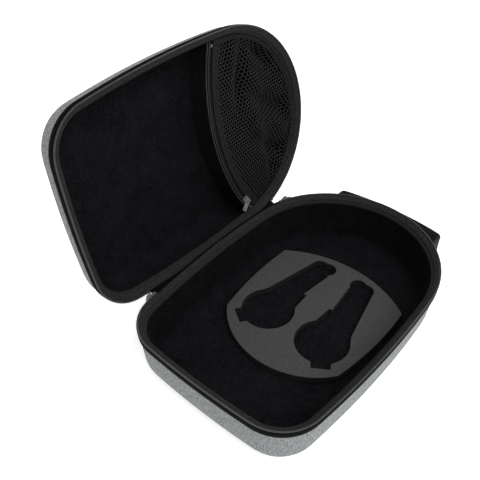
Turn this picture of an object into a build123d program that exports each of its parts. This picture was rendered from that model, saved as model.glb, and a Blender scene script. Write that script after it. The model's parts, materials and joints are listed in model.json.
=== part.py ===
from build123d import *
import os
from math import atan2, cos, degrees, hypot, radians, sin, sqrt, tan

# Hard clamshell carrying case, open, with a loose foam insert in its base.
# Millimetres and degrees. +X points to the rounded nose that carries the handle, +Y to the
# hinge, +Z up. The origin is the centre of the base's flat underside.

# Driving dimensions: the rim outline, seen from above
CASE_LENGTH = 324.0
CASE_WIDTH = 219.0
SIDE_RADIUS = 1000.0        # the long sides are slightly crowned
TAIL_RADIUS = 900.0         # the blunt end opposite the nose
TAIL_CORNER_RADIUS = 46.0

# Driving dimensions: the two shells
BASE_DEPTH = 66.0
LID_DEPTH = 38.0
BASE_DRAFT = 4.5
LID_DRAFT = 5.0
BASE_EDGE_RADIUS = 31.0     # outer rounding between wall and floor
LID_EDGE_RADIUS = 22.0
BASE_INNER_RADIUS = 14.0
LID_INNER_RADIUS = 15.0
SEAM_GAP = 1.0              # from each rim plane to the seam plane between the shells
OPEN_ANGLE = 101.5          # how far the lid stands open here

# Wall build-up, as insets from the rim outline, measured at the rim plane
TAPE_THICKNESS = 1.2
FABRIC_THICKNESS = 1.0
CORE_THICKNESS = 6.0
LINING_THICKNESS = 1.0
FLOOR_CORE_THICKNESS = 5.0
LAYER_GAP = 0.05
FABRIC_INSET = TAPE_THICKNESS + LAYER_GAP
CORE_INSET = FABRIC_INSET + FABRIC_THICKNESS + LAYER_GAP
LINING_INSET = CORE_INSET + CORE_THICKNESS + LAYER_GAP
CAVITY_INSET = LINING_INSET + LINING_THICKNESS

# Rim
TAPE_HEIGHT = 9.0
COIL_WIDTH = 1.8
COIL_BELOW = 1.2            # the coil bead straddles the rim plane
COIL_ABOVE = 0.85
BINDING_INSET = 2.0
BINDING_INNER_INSET = 10.5
BINDING_DROP = 6.4
BINDING_THICKNESS = 1.9

# Hinge tape along the back, between the two zipper ends
HINGE_FROM_X = -107.0
HINGE_TO_X = 88.0
HINGE_AXIS_INSET = 4.65     # the soft hinge lets the lid turn about a line inside the back wall
HINGE_AXIS_DROP = 5.45      # below the base's rim plane
STOP_LENGTH = 2.4

# Main zipper sliders
SLIDER_LENGTH = 12.0
SLIDER_CLEARANCE = 0.35
SLIDER_BELOW = 8.0
SLIDER_TOP_DROP = 1.2       # below the seam plane, under the path of the lid's rim
SLIDER_DEPTH = 3.0
STUD_RADIUS = 1.5
STUD_DROP = 4.2             # below the seam plane
RUNNING_CLEARANCE = 0.08
PULL_LENGTH = 22.0
PULL_WIDTH = 7.0
PULL_THICKNESS = 1.6
LEFT_SLIDER_X = -113.0
RIGHT_SLIDER_ANGLE = 66.0   # on the nose arc, from +X

# Handle on the nose
HANDLE_SPAN = 132.0
HANDLE_REACH_X = 175.0
HANDLE_BOW = 6.0            # how far the middle stands out past the two bends
HANDLE_THICKNESS = 3.5
HANDLE_HEIGHT = 25.0
HANDLE_TOP_DROP = 10.5      # below the base rim
HANDLE_BEND_RADIUS = 4.5
PATCH_SIZE = 26.0
PATCH_THICKNESS = 2.0

# Zip pocket across the nose end of the lid. Heights are measured from the lid's rim plane.
POCKET_ARC_X = 236.0
POCKET_ARC_Y = -17.0
POCKET_ARC_RADIUS = 210.0
POCKET_HEIGHT = 6.6
POCKET_TAPE_WIDTH = 5.5
POCKET_TAPE_THICKNESS = 0.7
POCKET_COIL_HALF_WIDTH = 1.1
POCKET_COIL_HEIGHT = 1.2
POCKET_BORDER_WIDTH = 6.8
NET_THICKNESS = 0.8
GUSSET_THICKNESS = 0.8
POCKET_END_Y = 94.0
POCKET_SLIDER_Y = 84.0
POCKET_PLATE_THICKNESS = 2.0
POCKET_PULL_LENGTH = 12.0
POCKET_PULL_WIDTH = 5.6
POCKET_PULL_THICKNESS = 1.2
POCKET_PULL_ANGLE = 134.0   # where the hanging pull points, from +X, with the lid closed

# Foam insert
INSERT_CENTRE_X = 11.0
INSERT_THICKNESS = 8.0
INSERT_CORNER_RADIUS = 4.0
POCKET_ROUND_RADIUS = 28.5
POCKET_TIP_RADIUS = 9.5

# Derived places
HALF_LENGTH = CASE_LENGTH / 2
HALF_WIDTH = CASE_WIDTH / 2
BASE_RIM_Z = BASE_DEPTH
SEAM_Z = BASE_RIM_Z + SEAM_GAP
LID_RIM_Z = SEAM_Z + SEAM_GAP
HINGE_AXIS = Axis(
    (0, HALF_WIDTH - HINGE_AXIS_INSET, BASE_RIM_Z - HINGE_AXIS_DROP), (-1, 0, 0)
)
FLOOR_THICKNESS = FABRIC_THICKNESS + FLOOR_CORE_THICKNESS + LINING_THICKNESS + 2 * LAYER_GAP


def tangent_circle_centre(first, first_distance, second, second_distance):
    """The left-hand point at the two given distances from two given points."""
    span = hypot(second[0] - first[0], second[1] - first[1])
    along = (first_distance**2 - second_distance**2 + span**2) / (2 * span)
    across = sqrt(first_distance**2 - along**2)
    ux = (second[0] - first[0]) / span
    uy = (second[1] - first[1]) / span
    return first[0] + along * ux - across * uy, first[1] + along * uy + across * ux


# Arc centres of the outline: one nose arc, a crowned side arc, a tail corner and the tail arc
SIDE_Y = HALF_WIDTH - SIDE_RADIUS
SIDE_TO_NOSE = SIDE_RADIUS - HALF_LENGTH
NOSE_X = (SIDE_Y**2 - SIDE_TO_NOSE**2) / (2 * SIDE_TO_NOSE)
NOSE_RADIUS = HALF_LENGTH - NOSE_X
TAIL_X = TAIL_RADIUS - HALF_LENGTH
CORNER_X, CORNER_Y = tangent_circle_centre(
    (0, SIDE_Y), SIDE_RADIUS - TAIL_CORNER_RADIUS, (TAIL_X, 0), TAIL_RADIUS - TAIL_CORNER_RADIUS
)
NOSE_END = degrees(atan2(-SIDE_Y, NOSE_X))
CORNER_START = degrees(atan2(CORNER_Y - SIDE_Y, CORNER_X))
CORNER_END = degrees(atan2(CORNER_Y, CORNER_X - TAIL_X))


def arc(centre_x, centre_y, radius, start, end, z):
    points = []
    for angle in (start, (start + end) / 2, end):
        x = centre_x + radius * cos(radians(angle))
        y = centre_y + radius * sin(radians(angle))
        points.append((x, y, z))
    return ThreePointArc(*points)


def outline(inset, z):
    """The rim outline moved inwards by inset, as a closed wire at height z."""
    corner = TAIL_CORNER_RADIUS - inset
    side = SIDE_RADIUS - inset
    return Wire(
        [
            arc(NOSE_X, 0, NOSE_RADIUS - inset, -NOSE_END, NOSE_END, z),
            arc(0, SIDE_Y, side, NOSE_END, CORNER_START, z),
            arc(CORNER_X, CORNER_Y, corner, CORNER_START, CORNER_END, z),
            arc(TAIL_X, 0, TAIL_RADIUS - inset, CORNER_END, 360 - CORNER_END, z),
            arc(CORNER_X, -CORNER_Y, corner, -CORNER_END, -CORNER_START, z),
            arc(0, -SIDE_Y, side, -CORNER_START, -NOSE_END, z),
        ]
    )


def stack(levels):
    """A solid through outlines given as (inset, z) pairs, joined by straight walls."""
    solid = None
    for lower, upper in zip(levels, levels[1:]):
        layer = Solid.make_loft([outline(*lower), outline(*upper)], ruled=True)
        solid = layer if solid is None else solid + layer
    return solid


def bowl(inset, depth, draft, edge_radius, top=0.0):
    """The space inside a shell: rim plane at z = 0, floor at -depth with a rounded edge."""
    floor_inset = inset + depth * tan(radians(draft))
    top_inset = inset - top * tan(radians(draft))
    solid = stack([(floor_inset, -depth), (top_inset, top)])
    floor = solid.faces().sort_by(Axis.Z)[0]
    return fillet(floor.edges(), edge_radius)


def ring(outer_inset, inner_inset, low, high, draft):
    """A band that follows the wall between two insets and two heights."""
    slope = tan(radians(draft))
    outer = stack([(outer_inset - low * slope, low), (outer_inset - high * slope, high)])
    inner = stack([(inner_inset - low * slope, low), (inner_inset - high * slope, high)])
    return outer - inner


def hinge_box(margin=0.0):
    """The stretch of the back wall that the hinge tape covers."""
    length = HINGE_TO_X - HINGE_FROM_X + 2 * margin
    centre = (HINGE_FROM_X + HINGE_TO_X) / 2
    return Pos(centre, HALF_WIDTH, 0) * Box(length, 60, 60)


def binding_surface(low_offset):
    """The sloping face of the rim binding, as (inset, z) levels, lowered by low_offset."""
    return [(BINDING_INNER_INSET, -BINDING_DROP - low_offset), (BINDING_INSET, -low_offset)]


def shell_parts(depth, draft, edge_radius, inner_radius):
    """Every sewn or moulded layer of one shell, rim plane at z = 0 and floor below it."""
    def layer(inset, floor, radius):
        return bowl(inset, depth - floor, draft, radius)

    fabric_floor = FABRIC_THICKNESS
    core_floor = fabric_floor + LAYER_GAP + FLOOR_CORE_THICKNESS
    outside = layer(FABRIC_INSET, 0, edge_radius)
    fabric_back = layer(CORE_INSET - LAYER_GAP, fabric_floor, edge_radius - FABRIC_THICKNESS)
    core_face = layer(CORE_INSET, fabric_floor + LAYER_GAP, edge_radius - FABRIC_THICKNESS)
    core_back = layer(LINING_INSET - LAYER_GAP, core_floor, inner_radius + LINING_THICKNESS)
    lining_face = layer(LINING_INSET, core_floor + LAYER_GAP, inner_radius + LINING_THICKNESS)
    cavity = layer(CAVITY_INSET, FLOOR_THICKNESS, inner_radius)

    # The binding wraps the top of the wall, so the layers under it stop at its underside
    under_binding = BINDING_THICKNESS + LAYER_GAP
    slope_cut = stack(binding_surface(under_binding) + [(BINDING_INSET, 1)])
    rim_cut = slope_cut + stack([(-5, -under_binding), (-5, 1)])
    fabric = outside - fabric_back - rim_cut
    core = core_face - core_back - rim_cut
    lining = lining_face - cavity - rim_cut

    binding_body = stack(binding_surface(BINDING_THICKNESS) + [(BINDING_INSET, 0)])
    binding_hole = stack(
        [(BINDING_INNER_INSET, -BINDING_DROP - 3)] + binding_surface(0) + [(BINDING_INSET, 1)]
    )
    binding = binding_body - binding_hole

    tape_ring = ring(0, TAPE_THICKNESS, -TAPE_HEIGHT, -COIL_BELOW - LAYER_GAP, draft)
    strip_ring = ring(0, TAPE_THICKNESS, -TAPE_HEIGHT, 0, draft)
    coil_ring = ring(0, COIL_WIDTH, -COIL_BELOW, COIL_ABOVE, 0)
    coil_ends = hinge_box(STOP_LENGTH)
    stops = (coil_ring & hinge_box(STOP_LENGTH - LAYER_GAP)) - hinge_box(LAYER_GAP)
    stop_pair = stops.solids().sort_by(Axis.X)
    return {
        "shell_fabric": fabric,
        "foam_core": core,
        "lining": lining,
        "rim_binding": binding,
        "zipper_tape": tape_ring - hinge_box(LAYER_GAP),
        "zipper_coil": coil_ring - coil_ends,
        "zipper_stop_left": stop_pair[0],
        "zipper_stop_right": stop_pair[-1],
        "hinge_tape": strip_ring & hinge_box(),
    }


def place_on_wall(shape, x, y, normal_angle):
    """Turns a shape drawn with +X outwards and +Y along the wall, and moves it to x, y."""
    return Pos(x, y, SEAM_Z) * Rot(0, 0, normal_angle) * shape


def slider_body():
    """A slider that rides outside the tapes; local +X outwards, z = 0 at the seam plane."""
    back = SLIDER_CLEARANCE
    front = SLIDER_DEPTH
    section = Polyline(
        (back, -SLIDER_BELOW),
        (front - 0.3, -SLIDER_BELOW),
        (front, -SLIDER_BELOW + 1),
        (front, -SLIDER_TOP_DROP - 1),
        (front - 0.8, -SLIDER_TOP_DROP),
        (back, -SLIDER_TOP_DROP),
        close=True,
    )
    plate = extrude(Plane.XZ * make_face(section), SLIDER_LENGTH / 2, both=True)
    head_x = front + 2 * RUNNING_CLEARANCE + PULL_THICKNESS
    stud = Cylinder(STUD_RADIUS, head_x - front + 0.4, rotation=(0, 90, 0))
    head = Cylinder(STUD_RADIUS + 0.9, 0.8, rotation=(0, 90, 0))
    stud_middle = front - 0.2 + (head_x - front + 0.4) / 2
    return (
        plate
        + Pos(stud_middle, 0, -STUD_DROP) * stud
        + Pos(head_x + 0.4, 0, -STUD_DROP) * head
    )


def slider_pull():
    """A flat tab that hangs from the slider's stud, with raised grip ribs on its outer face."""
    bottom = -STUD_DROP - PULL_LENGTH
    top = -STUD_DROP + PULL_WIDTH / 2
    middle = (top + bottom) / 2
    inner_x = SLIDER_DEPTH + RUNNING_CLEARANCE
    tab = RectangleRounded(PULL_WIDTH, top - bottom, PULL_WIDTH / 2 - 0.2)
    hole = Pos(0, -STUD_DROP - middle) * Circle(STUD_RADIUS + RUNNING_CLEARANCE)
    plate = extrude(Plane.YZ * (tab - hole), PULL_THICKNESS)
    pull = Pos(inner_x, 0, middle) * plate
    rib_count = 6
    for index in range(rib_count):
        z = bottom + 4 + index * 2.0
        rib = Box(0.5, PULL_WIDTH - 1.6, 0.9)
        pull += Pos(inner_x + PULL_THICKNESS + 0.2, 0, z) * rib
    return pull


def main_sliders():
    """Both sliders parked at the hinge ends of the zipper."""
    left_y = sqrt(SIDE_RADIUS**2 - LEFT_SLIDER_X**2) + SIDE_Y
    left_normal = degrees(atan2(left_y - SIDE_Y, LEFT_SLIDER_X))
    right_x = NOSE_X + NOSE_RADIUS * cos(radians(RIGHT_SLIDER_ANGLE))
    right_y = NOSE_RADIUS * sin(radians(RIGHT_SLIDER_ANGLE))
    spots = {
        "left": (LEFT_SLIDER_X, left_y, left_normal),
        "right": (right_x, right_y, RIGHT_SLIDER_ANGLE),
    }
    parts = {}
    for side, spot in spots.items():
        parts[f"slider_{side}_body"] = place_on_wall(slider_body(), *spot)
        parts[f"slider_{side}_pull"] = place_on_wall(slider_pull(), *spot)
    return parts


def handle_parts():
    """A stiff webbing handle that stands off the nose, sewn down through two patches."""
    top = BASE_RIM_Z - HANDLE_TOP_DROP
    bottom = top - HANDLE_HEIGHT
    bend_x = HANDLE_REACH_X - HANDLE_BOW
    half_span = HANDLE_SPAN / 2
    bends = [(bend_x, -half_span), (bend_x, half_span)]
    plan = Wire(
        [
            ThreePointArc(bends[0], (HANDLE_REACH_X, 0), bends[1]),
            Line(bends[1], (NOSE_X, half_span)),
            Line((NOSE_X, half_span), (NOSE_X, -half_span)),
            Line((NOSE_X, -half_span), bends[0]),
        ]
    )
    outer = make_face(plan)
    outer = fillet(outer.vertices().group_by(Axis.X)[-1], HANDLE_BEND_RADIUS)
    strap_plan = outer - offset(outer, -HANDLE_THICKNESS)
    strap = extrude(Pos(0, 0, bottom) * strap_plan, HANDLE_HEIGHT)

    def wall(inset):
        return Pos(0, 0, BASE_RIM_Z) * bowl(inset, BASE_DEPTH, BASE_DRAFT, BASE_EDGE_RADIUS)

    patch_back = FABRIC_INSET - LAYER_GAP
    patch_face = patch_back - PATCH_THICKNESS
    patch_skin = wall(patch_face) - wall(patch_back)
    patches = []
    for side in (-1, 1):
        y = side * (HANDLE_SPAN - HANDLE_THICKNESS) / 2
        block = Box(80, PATCH_SIZE, HANDLE_HEIGHT + 3)
        place = Pos(NOSE_X + 80, y, (top + bottom) / 2 - 0.6)
        patches.append(patch_skin & (place * block))
    return {
        "handle_strap": strap - wall(patch_face - LAYER_GAP),
        "handle_patch_front": patches[0],
        "handle_patch_back": patches[1],
    }


def pocket_disc(radius, low, high):
    """A disc about the pocket zipper's arc centre, between two heights in the lid."""
    height = high - low
    return Pos(POCKET_ARC_X, POCKET_ARC_Y, (low + high) / 2) * Cylinder(radius, height)


def pocket_band(inner_radius, outer_radius, low, high):
    """An arc-shaped band of the pocket, cut to the lid's inner edge."""
    band = pocket_disc(outer_radius, low, high) - pocket_disc(inner_radius, low, high)
    reach = BINDING_INNER_INSET + 0.1
    return band & stack([(reach, low - 1), (reach, high + 1)])


def pocket_parts():
    """The lid's net pocket, drawn with the lid's rim plane at z = 0 and its roof above it."""
    low = POCKET_HEIGHT
    high = low + POCKET_TAPE_THICKNESS
    chain = POCKET_ARC_RADIUS
    inner_edge = chain - LAYER_GAP - POCKET_TAPE_WIDTH
    outer_edge = chain + LAYER_GAP + POCKET_TAPE_WIDTH
    border_edge = inner_edge - LAYER_GAP - POCKET_BORDER_WIDTH
    net_low = high + LAYER_GAP
    coil_low = low - LAYER_GAP - POCKET_COIL_HEIGHT
    coil_ring = pocket_band(
        chain - POCKET_COIL_HALF_WIDTH, chain + POCKET_COIL_HALF_WIDTH, coil_low, low - LAYER_GAP
    )
    chain_span = Box(400, 2 * POCKET_END_Y, 60)
    stop_span = Box(400, 2 * (POCKET_END_Y + STOP_LENGTH), 60)
    chain_gap = Box(400, 2 * (POCKET_END_Y + LAYER_GAP), 60)
    chain_ends = ((coil_ring & stop_span) - chain_gap).solids().sort_by(Axis.Y)

    net_reach = BINDING_INNER_INSET + 0.1
    net_sheet = stack([(net_reach, net_low), (net_reach, net_low + NET_THICKNESS)])
    net = net_sheet & pocket_disc(border_edge + 2, net_low - 1, net_low + 2)

    roof = LID_DEPTH - FLOOR_THICKNESS - 0.1
    cavity = bowl(CAVITY_INSET + 0.1, roof, LID_DRAFT, LID_INNER_RADIUS)
    cavity = mirror(cavity, about=Plane.XY)
    wall_low = high + LAYER_GAP
    wall = pocket_disc(outer_edge, wall_low, LID_DEPTH)
    wall -= pocket_disc(outer_edge - GUSSET_THICKNESS, wall_low, LID_DEPTH)
    wall &= stack([(net_reach, wall_low), (net_reach, LID_DEPTH)])
    return {
        "pocket_tape_net_side": pocket_band(inner_edge, chain - LAYER_GAP, low, high),
        "pocket_tape_lid_side": pocket_band(chain + LAYER_GAP, outer_edge, low, high),
        "pocket_net_border": pocket_band(border_edge, inner_edge - LAYER_GAP, low, high),
        "pocket_zipper_coil": coil_ring & chain_span,
        "pocket_zipper_stop_front": chain_ends[0],
        "pocket_zipper_stop_back": chain_ends[-1],
        "pocket_net": net,
        "pocket_gusset": wall & cavity,
    }


def pocket_slider_parts():
    """The pocket's slider and its swinging pull, with the lid's rim plane at z = 0."""
    face = POCKET_HEIGHT - LAYER_GAP - POCKET_COIL_HEIGHT - LAYER_GAP
    plate_low = face - POCKET_PLATE_THICKNESS
    pull_high = plate_low - RUNNING_CLEARANCE
    pull_low = pull_high - POCKET_PULL_THICKNESS
    head_high = pull_low - RUNNING_CLEARANCE
    head_low = head_high - 0.7

    plate = Pos(0, 0, (face + plate_low) / 2) * Box(8, 11, POCKET_PLATE_THICKNESS)
    plate = chamfer(plate.edges().filter_by(Axis.Z), 1.5)
    stud = Pos(0, 0, (plate_low + head_high) / 2) * Cylinder(STUD_RADIUS, plate_low - head_high)
    head = Pos(0, 0, (head_high + head_low) / 2) * Cylinder(STUD_RADIUS + 0.9, 0.7)

    half_width = POCKET_PULL_WIDTH / 2
    tab = Pos((POCKET_PULL_LENGTH - half_width) / 2, 0) * Rectangle(
        POCKET_PULL_LENGTH + half_width, POCKET_PULL_WIDTH
    )
    tab = fillet(tab.vertices().group_by(Axis.X)[0], half_width - 0.5)
    tab = fillet(tab.vertices().group_by(Axis.X)[-1], 1.0)
    tab -= Circle(STUD_RADIUS + RUNNING_CLEARANCE)
    tab -= Pos(POCKET_PULL_LENGTH - 2.4, 0) * RectangleRounded(2.2, 1.8, 0.8)
    pull = extrude(Pos(0, 0, pull_low) * tab, POCKET_PULL_THICKNESS)

    rise = POCKET_SLIDER_Y - POCKET_ARC_Y
    reach = sqrt(POCKET_ARC_RADIUS**2 - rise**2)
    along_arc = Rot(0, 0, -degrees(atan2(rise, reach)))
    place = Pos(POCKET_ARC_X - reach, POCKET_SLIDER_Y, 0)
    return {
        "pocket_slider_body": place * along_arc * (plate + stud + head),
        "pocket_slider_pull": place * Rot(0, 0, POCKET_PULL_ANGLE) * pull,
    }


def controller_cutout():
    """One recess of the insert: a round head with a tab, and a handle that narrows to a tip."""
    head = (-25.0, 35.0)
    tab_angle = 147.6
    tab_reach = POCKET_ROUND_RADIUS + 5.8
    tab_width = 19.4
    handle = Polyline(
        head, (-16, 61.8), (0, 53.8), (66, 39.2), (66, 20), (56, 14), (17, 18.8), (17, 15.3),
        (-8, 13.5), close=True,
    )
    shape = Pos(*head) * Circle(POCKET_ROUND_RADIUS)
    shape += make_face(handle)
    shape += Pos(64.5, 30) * Circle(POCKET_TIP_RADIUS)
    shape += Pos(66, 20.5) * Circle(POCKET_TIP_RADIUS)
    tab = Pos(tab_reach / 2, 0) * Rectangle(tab_reach, tab_width)
    shape += Pos(*head) * Rot(0, 0, tab_angle) * tab
    return shape


def insert_part():
    """A loose foam plate with two mirrored controller recesses cut right through it."""
    nose, tail = (86, 0), (-86, 0)
    nose_corner, tail_corner = (61, 78), (-50, 71.5)
    side = (8, 79)
    edges = [
        ThreePointArc((nose_corner[0], -nose_corner[1]), nose, nose_corner),
        ThreePointArc(nose_corner, side, tail_corner),
        ThreePointArc(tail_corner, tail, (tail_corner[0], -tail_corner[1])),
        ThreePointArc(
            (tail_corner[0], -tail_corner[1]), (side[0], -side[1]), (nose_corner[0], -nose_corner[1])
        ),
    ]
    plate = make_face(Wire(edges))
    plate = fillet(plate.vertices(), INSERT_CORNER_RADIUS)
    cutout = controller_cutout()
    plate = plate - cutout - mirror(cutout, about=Plane.XZ)
    return Pos(INSERT_CENTRE_X, 0, FLOOR_THICKNESS + LAYER_GAP) * extrude(plate, INSERT_THICKNESS)


def build():
    parts = {}
    base = shell_parts(BASE_DEPTH, BASE_DRAFT, BASE_EDGE_RADIUS, BASE_INNER_RADIUS)
    for name, shape in base.items():
        parts[f"base_{name}"] = Pos(0, 0, BASE_RIM_Z) * shape
    parts.update(handle_parts())
    parts.update(main_sliders())
    parts["foam_insert"] = insert_part()

    lid = shell_parts(LID_DEPTH, LID_DRAFT, LID_EDGE_RADIUS, LID_INNER_RADIUS)
    closed = {f"lid_{name}": mirror(shape, about=Plane.XY) for name, shape in lid.items()}
    closed.update(pocket_parts())
    closed.update(pocket_slider_parts())
    for name, shape in closed.items():
        parts[name] = (Pos(0, 0, LID_RIM_Z) * shape).rotate(HINGE_AXIS, OPEN_ANGLE)
    return parts


os.makedirs("parts", exist_ok=True)
for node, shape in build().items():
    export_step(shape, f"parts/{node}.step")
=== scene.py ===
import json
import math

import bmesh
import bpy
import numpy as np
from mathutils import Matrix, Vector


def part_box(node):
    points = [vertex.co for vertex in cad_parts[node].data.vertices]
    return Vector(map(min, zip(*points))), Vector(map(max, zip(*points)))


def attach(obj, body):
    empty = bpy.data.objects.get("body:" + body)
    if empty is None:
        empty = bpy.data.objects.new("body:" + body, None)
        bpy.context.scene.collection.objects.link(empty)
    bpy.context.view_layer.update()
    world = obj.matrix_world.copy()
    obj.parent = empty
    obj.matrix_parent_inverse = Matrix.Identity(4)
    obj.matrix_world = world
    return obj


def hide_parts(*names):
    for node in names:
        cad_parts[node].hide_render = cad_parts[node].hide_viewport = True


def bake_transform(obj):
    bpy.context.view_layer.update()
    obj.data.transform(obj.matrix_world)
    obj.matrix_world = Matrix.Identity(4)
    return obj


# Looks of a soft-covered, hard-shelled carrying case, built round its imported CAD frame.
# Everything is in metres in the row frame: +X to the nose, +Y to the hinge, +Z up.
# Each half is drawn in its own rim frame: the rim plane is z = 0 and the floor lies below it.
# The lid is the same drawing turned over and swung open about the hinge.
# An inset is a distance inside the rim outline, and a section is a list of (inset, z) points.

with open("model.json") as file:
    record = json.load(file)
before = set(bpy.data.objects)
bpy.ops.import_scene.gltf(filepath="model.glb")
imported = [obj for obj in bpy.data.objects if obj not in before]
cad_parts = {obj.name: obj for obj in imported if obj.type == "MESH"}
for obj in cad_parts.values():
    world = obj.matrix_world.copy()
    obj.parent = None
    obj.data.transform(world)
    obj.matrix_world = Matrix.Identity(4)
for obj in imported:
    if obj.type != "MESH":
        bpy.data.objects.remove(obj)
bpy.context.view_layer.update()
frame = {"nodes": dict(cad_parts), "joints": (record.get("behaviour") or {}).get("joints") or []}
MM = 0.001


def joint(name):
    return next(j for j in frame["joints"] if j["name"] == name)


# Sizes shared with the CAD, read from the frame where a node or a joint shows them
BASE_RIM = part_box("base_rim_binding")[1].z
HALF_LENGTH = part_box("base_zipper_coil")[1].x
HALF_WIDTH = -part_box("base_zipper_coil")[0].y
HINGE_Y, HINGE_Z = joint("lid_hinge")["pos_m"][1:]
HINGE_LEFT, HINGE_RIGHT = (end.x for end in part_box("base_hinge_tape"))
OPEN_ANGLE = math.radians(-joint("lid_hinge")["range_deg"][0])
POCKET_X = joint("pocket_slider_travel")["pos_m"][0]

# Sizes of the CAD that the frame does not show
LID_RIM = BASE_RIM + 2 * MM
SIDE_RADIUS = 1.0
TAIL_RADIUS = 0.9
CORNER_RADIUS = 0.046
DEPTH = {"base": BASE_RIM, "lid": 0.038}
DRAFT = {"base": math.tan(math.radians(4.5)), "lid": math.tan(math.radians(5.0))}
EDGE_RADIUS = {"base": 0.031, "lid": 0.022}
INNER_RADIUS = {"base": 0.014, "lid": 0.015}
POCKET_Y = -0.017
POCKET_RADIUS = 0.210


# ---------------- the rim outline

def outline_arcs():
    """The outline as (centre x, centre y, radius, start angle, end angle), turning left."""
    side_y = HALF_WIDTH - SIDE_RADIUS
    side_to_nose = SIDE_RADIUS - HALF_LENGTH
    nose_x = (side_y**2 - side_to_nose**2) / (2 * side_to_nose)
    tail_x = TAIL_RADIUS - HALF_LENGTH
    first, second = SIDE_RADIUS - CORNER_RADIUS, TAIL_RADIUS - CORNER_RADIUS
    span = math.hypot(tail_x, side_y)
    along = (first**2 - second**2 + span**2) / (2 * span)
    across = math.sqrt(first**2 - along**2)
    ux, uy = tail_x / span, -side_y / span
    corner_x = along * ux - across * uy
    corner_y = side_y + along * uy + across * ux
    a = math.atan2(-side_y, nose_x)
    b = math.atan2(corner_y - side_y, corner_x)
    c = math.atan2(corner_y, corner_x - tail_x)
    turn = 2 * math.pi
    return [
        (nose_x, 0.0, HALF_LENGTH - nose_x, -a, a),
        (0.0, side_y, SIDE_RADIUS, a, b),
        (corner_x, corner_y, CORNER_RADIUS, b, c),
        (tail_x, 0.0, TAIL_RADIUS, c, turn - c),
        (corner_x, -corner_y, CORNER_RADIUS, turn - c, turn - b),
        (0.0, -side_y, SIDE_RADIUS, turn - b, turn - a),
    ]


ARCS = outline_arcs()
LENGTHS = [r * (end - start) for _, _, r, start, end in ARCS]
PERIMETER = sum(LENGTHS)


def arc_length_at(arc_index, angle):
    return sum(LENGTHS[:arc_index]) + ARCS[arc_index][2] * (angle - ARCS[arc_index][3])


class Track:
    """Points along the outline, by arc length; ring(inset) gives them moved inwards."""

    def __init__(self, lengths):
        self.s = np.asarray(lengths, float)
        starts = np.cumsum([0] + LENGTHS)
        wrapped = np.mod(self.s, PERIMETER)
        index = np.clip(np.searchsorted(starts, wrapped, side="right") - 1, 0, 5)
        arcs = np.array(ARCS)[index]
        self.centre = arcs[:, :2]
        self.radius = arcs[:, 2]
        angle = arcs[:, 3] + (wrapped - starts[index]) / self.radius
        self.normal = np.stack([np.cos(angle), np.sin(angle)], 1)

    def ring(self, inset):
        return self.centre + (self.radius - inset)[:, None] * self.normal


def whole_track(count):
    return Track(np.arange(count) * PERIMETER / count)


def span_track(start, end, step):
    count = max(2, int(round((end - start) / step)) + 1)
    return Track(np.linspace(start, end, count))


# Arc lengths where the hinge tape ends, going left from the nose
HINGE_START = arc_length_at(0, math.acos((HINGE_RIGHT - ARCS[0][0]) / ARCS[0][2]))
HINGE_END = arc_length_at(1, math.acos(HINGE_LEFT / SIDE_RADIUS))


FAR_INSIDE = 0.1     # no point that matters lies deeper inside the outline than this


def inset_of(x, y):
    """How far inside the outline a point lies."""
    nearest = FAR_INSIDE
    for cx, cy, radius, start, end in ARCS:
        angle = math.atan2(y - cy, x - cx)
        for turned in (angle, angle + 2 * math.pi):
            if start - 1e-9 <= turned <= end + 1e-9:
                nearest = min(nearest, radius - math.hypot(x - cx, y - cy))
    return nearest


def place(points, half):
    """From a half's rim frame to the row frame, with the lid swung open."""
    p = np.array(points, float)
    if half == "base":
        p[..., 2] += BASE_RIM
        return p
    y = p[..., 1] - HINGE_Y
    z = LID_RIM - p[..., 2] - HINGE_Z
    c, s = math.cos(OPEN_ANGLE), math.sin(OPEN_ANGLE)
    p[..., 1] = HINGE_Y + y * c + z * s
    p[..., 2] = HINGE_Z - y * s + z * c
    return p


# ---------------- mesh helpers

MERGE_WITHIN = 1e-6


def new_object(name, data):
    obj = bpy.data.objects.new(name, data)
    bpy.context.scene.collection.objects.link(obj)
    return obj


def at_height(xy, z):
    """Plan points with their height, which is one number or one for each point."""
    return np.column_stack([xy, np.full(len(xy), z)])


def running_length(points):
    """How far along a line each of its points lies."""
    steps = np.linalg.norm(np.diff(points, axis=0), axis=1)
    return np.concatenate([[0], np.cumsum(steps)])


def length_round(section):
    return running_length([*section, section[0]])


def make_object(name, verts, faces, uvs=None, sharp=40):
    mesh = bpy.data.meshes.new(name)
    mesh.from_pydata([tuple(v) for v in verts], [], faces)
    if uvs is not None:
        layer = mesh.uv_layers.new(name="UVMap")
        layer.data.foreach_set("uv", np.asarray(uvs, np.float32).ravel())
    tidy = bmesh.new()
    tidy.from_mesh(mesh)
    bmesh.ops.remove_doubles(tidy, verts=tidy.verts, dist=MERGE_WITHIN)
    bmesh.ops.recalc_face_normals(tidy, faces=tidy.faces)
    tidy.to_mesh(mesh)
    tidy.free()
    for polygon in mesh.polygons:
        polygon.use_smooth = True
    mesh.set_sharp_from_angle(angle=math.radians(sharp))
    return new_object(name, mesh)


def grid_object(name, points, u, v, wrap_rows, wrap_columns, sharp=40):
    """A quad grid. points is rows by columns by 3; u and v are its surface coordinates."""
    rows, columns = points.shape[:2]
    faces, corners = [], []
    last_row = rows if wrap_rows else rows - 1
    last_column = columns if wrap_columns else columns - 1
    for i in range(last_row):
        for j in range(last_column):
            quad = [(i, j), (i, j + 1), (i + 1, j + 1), (i + 1, j)]
            faces.append([(a % rows) * columns + b % columns for a, b in quad])
            corners.extend((u[a, b], v[a, b]) for a, b in quad)
    if wrap_rows and not wrap_columns:
        # An open run of a closed section gets a cap at each end
        for column in (0, columns - 1):
            faces.append([i * columns + column for i in range(rows)])
            corners.extend((u[i, column], v[i, column]) for i in range(rows))
    return make_object(name, points.reshape(-1, 3), faces, corners, sharp)


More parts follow.
